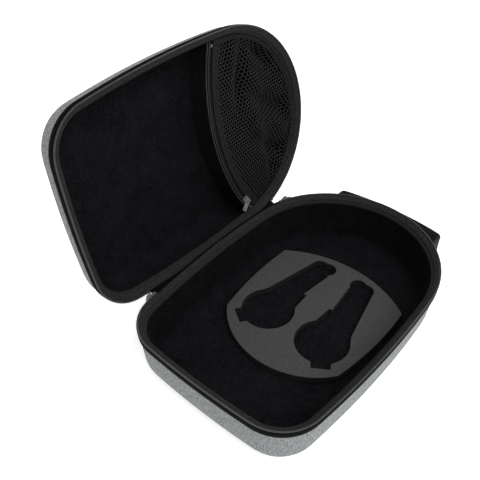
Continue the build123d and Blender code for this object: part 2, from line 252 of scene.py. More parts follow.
def in_mm(points):
    return [(a * MM, b * MM) for a, b in points]


def sweep(name, track, profile, half, closed_track, sharp=40):
    """A closed section of (inset, z) points run along the outline."""
    points = np.array([at_height(track.ring(inset), z) for inset, z in profile])
    s = np.append(track.s, PERIMETER) if closed_track else track.s
    u, v = np.meshgrid(s, length_round(profile))
    return grid_object(name, place(points, half), u, v, True, closed_track, sharp)


WALL_STEPS = 5
EDGE_STEPS = 9
BOWL_COLUMNS = 300


def bowl_profile(inset, depth, draft, radius, top):
    """Wall and rounded edge, from the rim down to the floor, as (inset, z)."""
    lean = math.atan(draft)
    foot = inset + depth * draft
    centre = foot + (radius - radius * math.sin(lean)) / math.cos(lean)
    arc_top = -depth + radius - radius * math.sin(lean)
    points = []
    for k in range(WALL_STEPS):
        z = top + (arc_top - top) * k / WALL_STEPS
        points.append((inset - z * draft, z))
    for k in range(EDGE_STEPS + 1):
        angle = lean + (math.pi / 2 - lean) * k / EDGE_STEPS
        points.append(
            (centre - radius * math.cos(angle), -depth + radius - radius * math.sin(angle))
        )
    return points


# Shares of the floor's outline at which its rings lie, closing up in the middle
FLOOR_STEPS = (0.9, 0.78, 0.64, 0.5, 0.36, 0.22, 0.1, 0.0)


def bowl_surface(track, profile, shift):
    """Rings down the wall, then rings that close up over the floor.

    Returns the points with their u and v: round and down the wall, x and y on the floor.
    """
    walls = len(profile)
    rings = [at_height(track.ring(inset), z) for inset, z in profile]
    rings += [rings[-1] * (k, k, 1) for k in FLOOR_STEPS]
    points = np.array(rings)
    s = np.append(track.s, PERIMETER)
    wrapped = np.concatenate([points, points[:, :1]], axis=1)
    u, v = wrapped[..., 0].copy(), wrapped[..., 1].copy()
    u[:walls] = s
    v[:walls] = (running_length(profile) + shift)[:, None]
    return points, u, v


def bowl_object(name, half, outer, inner):
    """A closed skin between an outer and an inner bowl profile."""
    track = whole_track(BOWL_COLUMNS)
    out_points, out_u, out_v = bowl_surface(track, outer, 0)
    # The shift keeps the weave of the inside from repeating that of the outside
    in_points, in_u, in_v = bowl_surface(track, inner, 0.3)
    points = np.concatenate([out_points, in_points[::-1]])
    u = np.concatenate([out_u, in_u[::-1], out_u[:1]])
    v = np.concatenate([out_v, in_v[::-1], out_v[:1]])
    return grid_object(name, place(points, half), u, v, True, True)


def tube_data(path, across, radius, sides):
    """A round filament along path; across is a direction off the path at each point."""
    tangent = np.gradient(path, axis=0)
    tangent /= np.linalg.norm(tangent, axis=1)[:, None]
    side = across - (across * tangent).sum(1)[:, None] * tangent
    side /= np.linalg.norm(side, axis=1)[:, None]
    third = np.cross(tangent, side)
    rings = []
    for k in range(sides):
        a = 2 * math.pi * k / sides
        rings.append(path + radius * (math.cos(a) * side + math.sin(a) * third))
    verts = np.stack(rings, 1).reshape(-1, 3)
    faces = []
    for i in range(len(path) - 1):
        for k in range(sides):
            a, b = i * sides + k, i * sides + (k + 1) % sides
            faces.append([a, b, b + sides, a + sides])
    faces.append(list(range(sides)))
    faces.append([(len(path) - 1) * sides + k for k in range(sides)])
    return verts, faces


def join_data(parts):
    """One list of vertices and faces from several."""
    verts, faces, base = [], [], 0
    for part_verts, part_faces in parts:
        verts.append(part_verts)
        faces.extend([[i + base for i in face] for face in part_faces])
        base += len(part_verts)
    return np.concatenate(verts), faces


def stitch_row(name, centres, outward, half, slot, length=2.2, gap=0.8, radius=0.24):
    """Sewing thread along a line of points; outward lifts it off the cloth. Sizes in mm."""
    along = running_length(centres)
    pitch = (length + gap) * MM
    # Both ends of a stitch dip into the cloth
    rise = np.array([-0.3, 0.05, 0.16, 0.05, -0.3]) * MM
    parts = []
    for k in range(int(along[-1] / pitch)):
        where = np.linspace(k * pitch, k * pitch + length * MM, len(rise))
        path = np.column_stack([np.interp(where, along, centres[:, i]) for i in range(3)])
        off = np.column_stack([np.interp(where, along, outward[:, i]) for i in range(3)])
        parts.append(tube_data(path + off * rise[:, None], off, radius * MM, 5))
    verts, faces = join_data(parts)
    dress(make_object(name, place(verts, half), faces), THREAD, half, slot)


def add_modifier(obj, kind, **settings):
    modifier = obj.modifiers.new(kind.title(), kind)
    for key, value in settings.items():
        setattr(modifier, key, value)


def round_edges(obj, width, segments, corner):
    """Rounds the edges that turn by more than corner degrees."""
    add_modifier(obj, "BEVEL", width=width, segments=segments, limit_method="ANGLE",
                 angle_limit=math.radians(corner))


def paint(obj, material):
    obj.data.materials.clear()
    obj.data.materials.append(material)


def dress(obj, material, body, slot, *nodes):
    """Gives a new piece its material, its body and the CAD nodes it stands for."""
    paint(obj, material)
    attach(obj, body)
    if nodes:
        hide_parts(*nodes)


# ---------------- materials

class Shader:
    """A small helper to write node materials."""

    def __init__(self, name, roughness=0.8, sheen=0.0, metallic=0.0, gloss=0.3):
        self.material = bpy.data.materials.new(name)
        self.material.use_nodes = True
        self.tree = self.material.node_tree
        self.bsdf = self.tree.nodes["Principled BSDF"]
        self.feed(self.bsdf, {
            "Roughness": roughness, "Metallic": metallic, "Sheen Weight": sheen,
            "Sheen Roughness": 0.45, "Specular IOR Level": gloss,
        })

    def feed(self, node, inputs):
        """Sets inputs of a node, by name or by number, to sockets or to plain values."""
        for key, value in inputs.items():
            if isinstance(value, bpy.types.NodeSocket):
                self.tree.links.new(value, node.inputs[key])
            else:
                node.inputs[key].default_value = value

    def add(self, kind, inputs=None, **settings):
        node = self.tree.nodes.new(kind)
        for key, value in settings.items():
            setattr(node, key, value)
        self.feed(node, inputs or {})
        return node

    def coordinates(self, kind="Object"):
        return self.add("ShaderNodeTexCoord").outputs[kind]

    def mapped(self, vector, scale, turn=(0, 0, 0)):
        inputs = {"Vector": vector, "Scale": scale, "Rotation": [math.radians(a) for a in turn]}
        return self.add("ShaderNodeMapping", inputs).outputs["Vector"]

    def noise(self, vector, scale, detail=2.0, rough=0.5):
        inputs = {"Vector": vector, "Scale": scale, "Detail": detail, "Roughness": rough}
        return self.add("ShaderNodeTexNoise", inputs).outputs["Fac"]

    def cells(self, vector, scale):
        inputs = {"Vector": vector, "Scale": scale}
        return self.add("ShaderNodeTexVoronoi", inputs).outputs["Distance"]

    def wave(self, vector, scale, direction, distortion):
        inputs = {"Vector": vector, "Scale": scale, "Distortion": distortion, "Detail": 1.0}
        node = self.add("ShaderNodeTexWave", inputs, bands_direction=direction)
        return node.outputs["Fac"]

    def calc(self, operation, first, second=0.0):
        return self.add("ShaderNodeMath", {0: first, 1: second}, operation=operation).outputs[0]

    def times(self, first, second):
        return self.calc("MULTIPLY", first, second)

    def plus(self, first, second):
        return self.calc("ADD", first, second)

    def pointiness(self):
        return self.add("ShaderNodeNewGeometry").outputs["Pointiness"]

    def ramp(self, factor, low, high):
        """Rescales low..high of a factor to 0..1, clamped."""
        inputs = {"Value": factor, "From Min": low, "From Max": high}
        return self.add("ShaderNodeMapRange", inputs).outputs["Result"]

    def mix(self, factor, first, second):
        # A colour mix has its factor and its two colours at these places in its inputs
        inputs = {0: factor, 6: rgba(first), 7: rgba(second)}
        return self.add("ShaderNodeMix", inputs, data_type="RGBA").outputs[2]

    def over(self, tone, where, share, second):
        """Lays a second colour over a tone where a factor is high, by up to a share."""
        return self.mix(self.times(where, share), tone, second)

    def colour(self, value):
        self.feed(self.bsdf, {"Base Color": value})

    def roughness(self, value):
        self.feed(self.bsdf, {"Roughness": value})

    def bump(self, height, depth, strength=1.0):
        """depth is the height of the relief, in millimetres."""
        inputs = {"Height": height, "Strength": strength, "Distance": depth * MM}
        normal = self.add("ShaderNodeBump", inputs).outputs["Normal"]
        self.feed(self.bsdf, {"Normal": normal})


def rgba(value):
    """A grey, a colour or a socket, as a colour input takes it."""
    if isinstance(value, bpy.types.NodeSocket):
        return value
    if isinstance(value, (int, float)):
        return (value, value, value, 1.0)
    return tuple(value) + (1.0,)


def heather_material():
    """Light grey melange cloth: mixed light and dark fibres in a fine diagonal weave."""
    sh = Shader("heather_cloth", roughness=0.95, sheen=0.06, gloss=0.1)
    spot = sh.coordinates()
    surface = sh.coordinates("UV")
    slant = (0, 0, 38)
    one_way = sh.noise(sh.mapped(surface, (1500, 330, 1), slant), 1.0, 3.0, 0.6)
    other_way = sh.noise(sh.mapped(surface, (330, 1500, 1), slant), 1.0, 3.0, 0.6)
    fibres = sh.plus(sh.times(one_way, 0.5), sh.times(other_way, 0.5))
    flecks = sh.noise(spot, 850, 3.0, 0.62)
    blend = sh.plus(sh.times(fibres, 0.55), sh.times(flecks, 0.45))
    tone = sh.mix(sh.ramp(blend, 0.38, 0.62), (0.100, 0.108, 0.111), (0.46, 0.477, 0.477))
    dark = sh.ramp(sh.noise(spot, 520, 2.0, 0.55), 0.56, 0.72)
    tone = sh.over(tone, dark, 0.45, (0.12, 0.13, 0.135))
    streaks = sh.noise(sh.mapped(surface, (520, 170, 1), slant), 1.0, 2.0, 0.6)
    tone = sh.over(tone, sh.ramp(streaks, 0.45, 0.65), 0.62, (0.12, 0.13, 0.132))
    sh.colour(tone)
    diagonal = sh.mapped(surface, (1, 1, 1), (0, 0, 45))
    thread = sh.times(sh.wave(diagonal, 420, "X", 1.0), sh.wave(diagonal, 420, "Y", 1.0))
    sh.bump(sh.plus(sh.times(thread, 0.5), blend), 0.16, 0.7)
    return sh.material


def plush_material():
    """Short black pile: almost no colour, a soft rim light, a brushed, patchy nap and painted
    shade under the lid's pocket.
    """
    sh = Shader("plush_lining", roughness=0.95, sheen=0.012, gloss=0.03)
    sh.feed(sh.bsdf, {"Sheen Tint": (0.55, 0.57, 0.62, 1)})
    spot = sh.coordinates()
    nap = sh.noise(spot, 60, 4.0, 0.6)
    pile = sh.noise(spot, 1500, 2.0, 0.7)
    tuft = sh.noise(spot, 520, 3.0, 0.7)
    tone = sh.mix(sh.ramp(nap, 0.35, 0.7), (0.0028, 0.0030, 0.0036), (0.0062, 0.0066, 0.0076))
    tone = sh.over(tone, sh.ramp(tuft, 0.48, 0.66), 0.6, (0.015, 0.0155, 0.0175))
    tone = sh.over(tone, sh.ramp(pile, 0.5, 0.75), 0.3, (0.018, 0.0185, 0.02))
    # Painted shade: the lid's pile is darkened from here on, where the pocket and its net lie over
    # it
    pocket_from, pocket_full = 0.028, 0.058
    along = sh.add("ShaderNodeSeparateXYZ", {0: spot}).outputs
    in_lid = sh.ramp(along["Y"], HINGE_Y - 2 * MM, HINGE_Y)
    painted_pocket_shade = sh.times(sh.ramp(along["X"], pocket_from, pocket_full), in_lid)
    tone = sh.over(tone, painted_pocket_shade, 0.85, (0.0008, 0.0008, 0.001))
    sh.colour(tone)
    sh.bump(sh.plus(pile, sh.times(sh.noise(spot, 300, 3.0), 1.2)), 0.35, 0.6)
    return sh.material


RIB_DIVISOR = 6.283     # a wave texture of scale n / 6.283 has about n / 2 ribs to the metre


def woven_material(name, dark, light, across, along, depth=0.12, sheen=0.02, gloss=0.1):
    """Tape woven from fine yarns: ribs across the length and a yarn-to-yarn tone change."""
    sh = Shader(name, roughness=0.8, sheen=sheen, gloss=gloss)
    surface = sh.coordinates("UV")
    weft = sh.wave(surface, across / RIB_DIVISOR, "X", 0.6)
    warp = sh.wave(surface, along / RIB_DIVISOR, "Y", 0.4)
    relief = sh.calc("MAXIMUM", sh.times(weft, warp), sh.times(weft, 0.6))
    yarn = sh.noise(sh.mapped(surface, (2600, 500, 1)), 1.0, 2.0, 0.6)
    fuzz = sh.noise(sh.coordinates(), 430, 3.0, 0.7)
    tone = sh.mix(sh.times(relief, sh.ramp(yarn, 0.25, 0.75)), dark, light)
    sh.colour(sh.over(tone, sh.ramp(fuzz, 0.42, 0.62), 0.5, light))
    sh.roughness(sh.plus(sh.times(yarn, 0.2), 0.7))
    sh.bump(sh.plus(relief, sh.times(yarn, 0.3)), depth, 0.8)
    return sh.material


def thread_material():
    """Twisted sewing thread."""
    sh = Shader("sewing_thread", roughness=0.6, sheen=0.02, gloss=0.15)
    twist = sh.wave(sh.mapped(sh.coordinates(), (1, 1, 1), (0, 0, 40)), 900, "X", 0.5)
    tone = (0.022, 0.022, 0.024)
    sh.colour(sh.mix(twist, tone, [c * 2.2 for c in tone]))
    sh.bump(twist, 0.06, 0.6)
    return sh.material


def nylon_material(name, low, high, gloss):
    """Moulded nylon: even tone with faint flow marks and a soft highlight."""
    sh = Shader(name, roughness=0.38, gloss=gloss)
    spot = sh.coordinates()
    flow = sh.noise(spot, 420, 3.0, 0.6)
    sh.colour(sh.mix(flow, low, high))
    sh.roughness(sh.plus(sh.times(flow, 0.25), 0.28))
    sh.bump(sh.noise(spot, 1800, 2.0), 0.03, 0.5)
    return sh.material


def metal_material():
    """Grey plated zinc: brushed, with dull handling marks and brighter worn edges."""
    sh = Shader("slider_metal", roughness=0.5, metallic=0.2)
    spot = sh.coordinates()
    brushed = sh.noise(sh.mapped(spot, (300, 300, 3500)), 1.0, 3.0, 0.6)
    marks = sh.ramp(sh.noise(spot, 380, 4.0, 0.7), 0.45, 0.75)
    tone = sh.mix(brushed, (0.10, 0.10, 0.104), (0.19, 0.19, 0.195))
    tone = sh.over(tone, marks, 0.4, (0.07, 0.07, 0.074))
    tone = sh.over(tone, sh.ramp(sh.pointiness(), 0.5, 0.6), 0.25, (0.28, 0.28, 0.285))
    sh.colour(tone)
    sh.roughness(sh.plus(sh.times(marks, 0.25), 0.28))
    sh.bump(brushed, 0.02, 0.5)
    return sh.material


def rubber_material():
    """Grey moulded grip: matte, fine-grained, a little lighter on its rubbed edges."""
    sh = Shader("pull_tab", roughness=0.6)
    spot = sh.coordinates()
    grain = sh.noise(spot, 1600, 2.0, 0.6)
    smear = sh.noise(spot, 150, 3.0, 0.6)
    tone = sh.mix(smear, (0.10, 0.10, 0.104), (0.16, 0.16, 0.165))
    tone = sh.over(tone, sh.ramp(sh.pointiness(), 0.5, 0.58), 0.5, (0.28, 0.28, 0.285))
    sh.colour(tone)
    sh.roughness(sh.plus(sh.times(grain, 0.2), 0.5))
    sh.bump(grain, 0.05, 0.6)
    return sh.material


def foam_material(name, low, high, pore):
    """Fine closed-cell foam: small cells, some of them open, faint press marks, and painted shade
    on its upright sides.
    """
    sh = Shader(name, roughness=0.9, sheen=0.02, gloss=0.1)
    spot = sh.coordinates()
    cells = sh.cells(spot, 1250)
    open_cells = sh.calc("SUBTRACT", 1.0, sh.ramp(sh.cells(spot, 760), 0.05, 0.3))
    patches = sh.noise(spot, 34, 3.0, 0.6)
    fleck = sh.noise(spot, 700, 2.0, 0.6)
    tone = sh.mix(sh.ramp(fleck, 0.3, 0.7), low, high)
    tone = sh.over(tone, open_cells, 0.45, pore)
    shade = (low * 1.1, low * 1.1, low * 1.12)
    tone = sh.over(tone, sh.ramp(patches, 0.35, 0.7), 0.35, shade)
    # Painted shade: faces that stand upright, the plate's sides and the walls of its cut-outs, are
    # darkened as if in shadow
    normal = sh.add("ShaderNodeNewGeometry").outputs["Normal"]
    facing_up = sh.calc("ABSOLUTE", sh.add("ShaderNodeSeparateXYZ", {0: normal}).outputs["Z"])
    side = sh.calc("SUBTRACT", 1.0, sh.ramp(facing_up, 0.35, 0.9))
    tone = sh.over(tone, side, 0.85, pore * 0.5)
    sh.colour(tone)
    sh.bump(sh.calc("SUBTRACT", cells, sh.times(open_cells, 0.5)), 0.12, 0.6)
    return sh.material


HEATHER = heather_material()
PLUSH = plush_material()
BINDING = woven_material("rim_binding", (0.010, 0.0098, 0.010), (0.040, 0.0393, 0.041), 5200, 3400)
DULL = {"sheen": 0.0, "gloss": 0.03}
TAPE_TONES = (0.002, 0.002, 0.0023), (0.008, 0.008, 0.0085)
TAPE = woven_material("black_tape", *TAPE_TONES, 5600, 5600, **DULL)
HINGE_CLOTH = woven_material("hinge_cloth", *TAPE_TONES, 4200, 2600, depth=0.2, **DULL)
POCKET_TAPE = woven_material(
    "pocket_tape", (0.001, 0.001, 0.0012), (0.005, 0.005, 0.0055), 5600, 5600, **DULL)
WEBBING = woven_material(
    "webbing", (0.010, 0.010, 0.0105), (0.045, 0.045, 0.047), 2300, 1800, depth=0.3)
NET = woven_material(
    "net_yarn", (0.009, 0.009, 0.0095), (0.036, 0.036, 0.038), 5200, 5200, gloss=0.05)
PIPING = woven_material("pocket_piping", (0.018, 0.018, 0.019), (0.075, 0.075, 0.078), 5200, 5200)
HEM = woven_material("pocket_hem", (0.004, 0.004, 0.0043), (0.017, 0.0165, 0.0175), 5200, 3400)
THREAD = thread_material()
COIL = nylon_material("zipper_coil", (0.035, 0.035, 0.036), (0.10, 0.10, 0.104), 0.8)
POCKET_COIL = nylon_material("pocket_coil", 0.004, 0.012, 0.3)
METAL = metal_material()
RUBBER = rubber_material()
FOAM = foam_material("insert_foam", 0.046, 0.070, 0.016)
CORE = foam_material("moulded_core", 0.012, 0.02, 0.006)


# ---------------- walls of both halves

UNDER_BINDING = -1.95 * MM       # z where the cloth starts, hidden by the rim binding


def build_walls(half):
    depth, draft = DEPTH[half], DRAFT[half]
    edge, inner = EDGE_RADIUS[half], INNER_RADIUS[half]

    def bowl(inset, floor, radius, top):
        return bowl_profile(inset * MM, depth - floor * MM, draft, radius, top)

    cloth = bowl_object(
        f"{half}_heather_shell", half,
        bowl(1.25, 0, edge, UNDER_BINDING),
        bowl(2.2, 0.95, edge - 0.95 * MM, UNDER_BINDING),
    )
    dress(cloth, HEATHER, half, "heather_cloth", f"{half}_shell_fabric")
    core = bowl_object(
        f"{half}_moulded_core", half,
        bowl(2.3, 1.1, edge - MM, UNDER_BINDING - 0.3 * MM),
        bowl(6.7, 5.9, inner + 1.6 * MM, -8.4 * MM),
    )
    dress(core, CORE, half, "moulded_core", f"{half}_foam_core")
    lining = bowl_object(
        f"{half}_plush_lining", half,
        bowl(7.2, 6.1, inner + 1.0 * MM, -7.0 * MM),
        bowl(8.2, 7.1, inner, -8.0 * MM),
    )
    dress(lining, PLUSH, half, "plush_lining", f"{half}_lining")


def binding_profile():
    """The rim binding: an outer rolled edge, a gently crowned face, a sewn groove, a hem."""
    start, end = np.array([2.5, -0.2]), np.array([9.2, -7.2])
    slope = end - start
    length = np.hypot(*slope)
    slope = slope / length
    face = np.array([-slope[1], slope[0]])
    # (share of the way down the face, height off it in mm); the dip at 0.745 is the groove
    shape = [
        (0.00, -0.45), (0.02, -0.20), (0.05, -0.02), (0.10, 0.08), (0.15, 0.06), (0.18, 0.10),
        (0.26, 0.40), (0.38, 0.66), (0.50, 0.74), (0.61, 0.62), (0.68, 0.30), (0.72, -0.25),
        (0.745, -0.45), (0.77, -0.25), (0.81, 0.35), (0.86, 0.62), (0.91, 0.50), (0.96, 0.10),
    ]
    points = [start + share * length * slope + rise * face for share, rise in shape]
    points += [(9.25, -7.5), (9.3, -8.1), (9.2, -8.7), (8.8, -8.6)]
    points += [(5.4, -5.4), (2.7, -2.05), (2.5, -1.7)]
    return in_mm(points)


GROOVE = (7.2 * MM, -5.65 * MM)      # inset and z of the stitches in the binding's groove
LAP_X = -12 * MM                     # where the ends of the base's binding lap
LAP_REACH = 8 * MM
SEAM_Z = -7.15 * MM                  # the stitched seam along the foot of every tape
COIL_MARGIN = 2.6 * MM               # the coil stops this far before the hinge cloth
COIL_PITCH = 1.7 * MM
COIL_STEP = 0.17 * MM
COIL_MIDDLE = (0.93 * MM, -0.17 * MM)      # inset and z of the coil's centre line
COIL_REACH = (0.62 * MM, 0.66 * MM)        # how far its turns go across and up


def offset_line(track, inset, z):
    """Points along the outline with the outward direction at each."""
    return at_height(track.ring(inset), z), at_height(track.normal, 0)


def build_binding(half):
    profile = binding_profile()
    binding = sweep(f"{half}_binding", whole_track(420), profile, half, True, 55)
    dress(binding, BINDING, half, "rim_binding", f"{half}_rim_binding")
    if half == "base":
        # The ends of the binding lap over each other beside the hinge
        middle = arc_length_at(1, math.acos(LAP_X / SIDE_RADIUS))
        lap = [(inset - 0.25 * MM, z + 0.4 * MM) for inset, z in profile]
        track = span_track(middle - LAP_REACH, middle + LAP_REACH, 2 * MM)
        join = sweep("base_binding_join", track, lap, half, False, 55)
        dress(join, BINDING, half, "rim_binding")

    track = whole_track(600)
    groove, outward = offset_line(track, *GROOVE)
    lift = -0.7 * outward + (0, 0, 0.7)
    stitch_row(f"{half}_binding_stitches", groove, lift, half, "rim_binding", 2.4, 0.9, 0.28)


def build_zipper(half):
    """Half of the zipper: its tape, the seam of the tape, the coil and the coil's cord."""
    draft = DRAFT[half]
    start, end = HINGE_END, PERIMETER + HINGE_START
    zipper = span_track(start, end, 2.2 * MM)
    # Written for an upright wall, then leant with the wall's draft
    upright = [
        (1.15, -1.35), (0.25, -1.32), (0.0, -1.7), (-0.08, -3.2), (-0.12, -5.0), (-0.08, -6.6),
        (0.10, -7.2), (0.02, -7.8), (0.05, -8.6), (0.3, -8.95), (1.15, -8.98),
    ]
    section = [(inset - z * draft, z) for inset, z in in_mm(upright)]
    tape = sweep(f"{half}_tape", zipper, section, half, False, 55)
    dress(tape, TAPE, half, "black_tape", f"{half}_zipper_tape")
    seam, out = offset_line(zipper, 0.08 * MM - SEAM_Z * draft, SEAM_Z)
    stitch_row(f"{half}_tape_stitches", seam, out, half, "black_tape")

    chain = span_track(start + COIL_MARGIN, end - COIL_MARGIN, COIL_STEP)
    phase = 2 * math.pi * chain.s / COIL_PITCH
    across, up = np.cos(phase), np.sin(phase)
    xy = chain.ring(0) - chain.normal * (COIL_MIDDLE[0] - COIL_REACH[0] * across)[:, None]
    path = np.column_stack([xy, COIL_MIDDLE[1] + COIL_REACH[1] * up])
    away = np.column_stack([chain.normal * across[:, None], up])
    verts, faces = tube_data(path, away, 0.30 * MM, 6)
    coil = make_object(f"{half}_coil", place(verts, half), faces)
    dress(coil, COIL, half, "zipper_coil", f"{half}_zipper_coil")

    track = span_track(start + COIL_MARGIN, end - COIL_MARGIN, 2.4 * MM)
    section = in_mm([(0.5, 0.25), (0.5, -1.3), (1.4, -1.3), (1.4, 0.25)])
    cord = sweep(f"{half}_coil_cord", track, section, half, False)
    dress(cord, THREAD, half, "zipper_coil")


def build_hinge_cloth():
    """One woven strip across the hinge: flat on each half, with a short free web between."""
    track = span_track(HINGE_START + 0.4 * MM, HINGE_END - 0.4 * MM, 2.4 * MM)
    # (half, inset, z) round the section: down the base, over to the lid and back
    section = [
        ("base", 1.15, -0.3), ("base", 1.15, -4.5), ("base", 1.15, -9.0), ("base", 0.5, -9.35),
        ("lid", -0.15, -0.25), ("lid", -0.25, -2.5), ("lid", -0.28, -5.0), ("lid", -0.25, -6.6),
        ("lid", -0.05, -7.2), ("lid", -0.18, -7.8), ("lid", -0.1, -8.8), ("lid", 0.4, -9.2),
        ("lid", 1.15, -9.0), ("lid", 1.15, -4.5), ("lid", 1.15, -0.3), ("lid", 0.5, -0.02),
        ("base", -0.12, -8.5), ("base", -0.18, -7.8), ("base", -0.05, -7.2),
        ("base", -0.25, -6.6), ("base", -0.28, -5.0), ("base", -0.25, -2.5), ("base", 0.1, -0.2),
    ]
    rows = []
    for half, inset, z in section:
        line, _ = offset_line(track, (inset - z * DRAFT[half]) * MM, z * MM)
        rows.append(place(line, half))
    points = np.array(rows)
    middle = points[:, len(track.s) // 2]
    u, v = np.meshgrid(track.s, length_round(middle))
    cloth = grid_object("hinge_cloth", points, u, v, True, False, 50)
    paint(cloth, HINGE_CLOTH)
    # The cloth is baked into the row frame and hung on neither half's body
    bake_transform(cloth)
    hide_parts("base_hinge_tape", "lid_hinge_tape")

    for half in ("base", "lid"):
        line, out = offset_line(track, -0.08 * MM - SEAM_Z * DRAFT[half], SEAM_Z)
        stitch_row(f"{half}_hinge_stitches", line, out, half, "black_tape")


# ---------------- handle

def strap_path():
    """Plan of the strap, from one patch round the bow to the other."""
    low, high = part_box("handle_strap")
    half_thickness = 1.75 * MM
    half_span = (high.y - low.y) / 2 - half_thickness
    tip_x = high.x - half_thickness
    bow_rise = 6.0 * MM
    bend_x = tip_x - bow_rise
    bow = (half_span**2 + bow_rise**2) / (2 * bow_rise)
    corner, corner_turn = 3.6 * MM, math.radians(80)
    points = []
    leg_start, leg_length = low.x + 1.4 * MM, (bend_x - 4 * MM - low.x) * 0.98
    for k in range(8):
        points.append((leg_start + leg_length * k / 7, -half_span))
    for k in range(7):
        a = -math.pi / 2 + corner_turn * k / 6
        x = bend_x - corner + corner * math.cos(a)
        points.append((x + 0.3 * MM, -half_span + corner + corner * math.sin(a)))
    mirrored = [(x, -y) for x, y in reversed(points)]
    count = 40
    for k in range(1, count):
        y = (-half_span + corner * 1.2) * (1 - 2 * k / count)
        points.append((tip_x - bow + math.sqrt(bow**2 - y**2), y))
    return np.array(points + mirrored)


def build_strap():
    low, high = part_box("handle_strap")
    path = strap_path()
    tangent = np.gradient(path, axis=0)
    tangent /= np.linalg.norm(tangent, axis=1)[:, None]
    normal = np.column_stack([tangent[:, 1], -tangent[:, 0]])
    half_height = (high.z - low.z) / 2
    middle_z = (high.z + low.z) / 2
    half_thickness = 1.55 * MM
    # A quarter of the section, as shares of its half thickness and half height
    quarter = ((1.0, 0.0), (1.08, 0.3), (1.08, 0.7), (1.0, 0.88), (0.75, 0.985), (0.3, 1.0))
    quarter = [(y * half_thickness, z * half_height) for y, z in quarter]
    upper = quarter + [(-y, z) for y, z in reversed(quarter)]
    ring = upper + [(-y, -z) for y, z in upper[1:-1]]
    points = np.array([at_height(path + normal * off, middle_z + z) for off, z in ring])
    u, v = np.meshgrid(running_length(path), length_round(ring))
    strap = grid_object("handle_strap_webbing", points, u, v, True, False, 60)
    add_modifier(strap, "SUBSURF", levels=1, render_levels=1)
    dress(strap, WEBBING, "base", "webbing", "handle_strap")

    stitch_off = 1.66 * MM
    rows = [(side, z) for z in (0.80, -0.80) for side in (1, -1)]
    for k, (side, share) in enumerate(rows):
        z = middle_z + half_height * share - BASE_RIM
        line, out = at_height(path + normal * side * stitch_off, z), at_height(normal * side, 0)
        stitch_row(f"handle_stitches_{k}", line, out, "base", "webbing", 2.8, 1.0, 0.3)


def build_patch(node, side):
    """A webbing patch on the nose wall, sewn down along its four edges."""
    low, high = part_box(node)
    middle_y, half_y = abs(low.y + high.y) / 2, (high.y - low.y) / 2
    angles = [math.asin((middle_y + k * half_y) / ARCS[0][2]) for k in (-0.93, 0.93)]
    track = span_track(*sorted(arc_length_at(0, side * a) for a in angles), 1.6 * MM)
    top, bottom = high.z - BASE_RIM - 0.4 * MM, low.z - BASE_RIM + 0.4 * MM
    draft = DRAFT["base"]
    middle, reach = (top + bottom) / 2, (top - bottom) / 2
    # (inset in mm, share of the half height)
    outer = [(-0.45, 1.0), (-0.72, 0.96), (-0.8, 0.85), (-0.85, 0.4), (-0.85, 0.0)]
    outer += [(a, -b) for a, b in reversed(outer[:-1])]
    profile = []
    for inset, share in outer + [(1.1, -1.0), (1.1, 0.0), (1.1, 1.0)]:
        z = middle + reach * share
        profile.append((inset * MM - z * draft, z))
    patch = sweep(f"{node}_webbing", track, profile, "base", False, 50)
    dress(patch, WEBBING, "base", "webbing", node)

    stitch_off, stitch_share = 0.9 * MM, 0.82
    high_z, low_z = middle + reach * stitch_share, middle - reach * stitch_share
    edges = {
        "stitches_0": (track, high_z),
        "stitches_1": (track, low_z),
        "side_stitches_0": (Track([track.s[1]] * 12), np.linspace(low_z, high_z, 12)),
        "side_stitches_1": (Track([track.s[-2]] * 12), np.linspace(low_z, high_z, 12)),
    }
    for name, (line_track, z) in edges.items():
        line, out = offset_line(line_track, -stitch_off - z * draft, z)
        stitch_row(f"{node}_{name}", line, out, "base", "webbing", radius=0.3)


# ---------------- lid pocket

POCKET_PLANE = -7.0 * MM      # z of the pocket tapes in the lid's rim frame
POCKET_REACH = 9.7 * MM       # the pocket stops at this inset from the rim outline
POCKET_COLUMNS = 115
POCKET_COIL_Y = 94 * MM       # the small coil ends this far to both sides
POCKET_COIL_PITCH = 1.25 * MM


def pocket_xy(radius, angle):
    """A point about the pocket's arc centre; angle 0 points to the tail."""
    return POCKET_X - radius * np.cos(angle), POCKET_Y + radius * np.sin(angle)


def pocket_ends(radius):
    """The angles where an arc about the pocket centre meets the rim binding."""
    ends = []
    for side in (-1, 1):
        low, high = 0.0, 1.2
        # Halving the gap between an angle inside and one outside
        for _ in range(30):
            middle = (low + high) / 2
            if inset_of(*pocket_xy(radius, side * middle)) > POCKET_REACH:
                low = middle
            else:
                high = middle
        ends.append(side * low)
    return ends


def pocket_strip(name, near, far, z, thickness, crown):
    """A flat strip along the pocket's arc between two radii, soft-edged and slightly crowned."""
    width = far - near
    section = []
    for share, rise in ((0.0, -0.25), (0.03, 0.05), (0.12, 0.12), (0.5, crown), (0.88, 0.12),
                        (0.97, 0.05), (1.0, -0.25)):
        section.append((near + width * share, z + rise * MM))
    section += [(far, z - thickness), (near, z - thickness)]
    rows = []
    ends = [pocket_ends(radius) for radius, _ in section]
    for (radius, height), (start, end) in zip(section, ends):
        xy = pocket_xy(radius, np.linspace(start, end, POCKET_COLUMNS))
        rows.append(at_height(np.transpose(xy), height))
    along = np.linspace(ends[0][0], ends[0][1], POCKET_COLUMNS) * POCKET_RADIUS
    u, v = np.meshgrid(along, length_round(section))
    return grid_object(name, place(np.array(rows), "lid"), u, v, True, False, 50)


